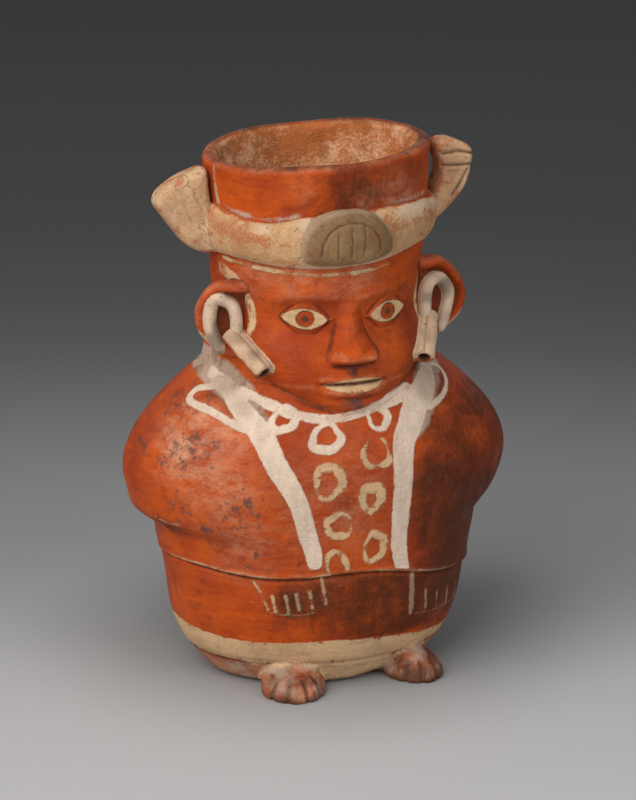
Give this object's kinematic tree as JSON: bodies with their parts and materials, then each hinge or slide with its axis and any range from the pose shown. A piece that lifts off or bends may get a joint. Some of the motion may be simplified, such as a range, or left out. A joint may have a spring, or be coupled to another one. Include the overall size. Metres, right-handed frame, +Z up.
{
  "type": "figure jar",
  "caption": "Hollow earthenware jar shaped as a seated figure: moulded body, face neck, headdress with side tabs, ear ornaments, feet and an open rim, painted in red and cream slip.",
  "frame": {"origin": "centre of the flat base, on the resting plane", "axes": "+Z up, the figure looks along -Y, its own left side is +X"},
  "size_m": [0.1308, 0.0882, 0.1814],
  "materials": {
    "red_slip": "burnished slip",
    "cream_slip": "worn matt slip",
    "tan_slip": "worn matt slip",
    "bare_clay": "unslipped clay"
  },
  "bodies": {
    "root": {"body_front": "red_slip", "body_back": "red_slip", "head_front": "red_slip", "head_back": "red_slip", "rim_collar": "red_slip", "left_ear": "red_slip", "right_ear": "red_slip", "left_foot": "red_slip", "right_foot": "red_slip", "headband": "cream_slip", "left_headdress_ornament": "cream_slip", "right_headdress_ornament": "cream_slip", "left_ear_loop": "cream_slip", "right_ear_loop": "cream_slip", "left_ear_tube": "cream_slip", "right_ear_tube": "cream_slip", "headband_medallion": "tan_slip", "base_disc": "bare_clay", "base_coil": "bare_clay", "neck_coil": "bare_clay", "collar_coil": "bare_clay", "body_left_seam_coil": "bare_clay", "body_right_seam_coil": "bare_clay", "head_left_seam_coil": "bare_clay", "head_right_seam_coil": "bare_clay"}
  },
  "joints": []
}
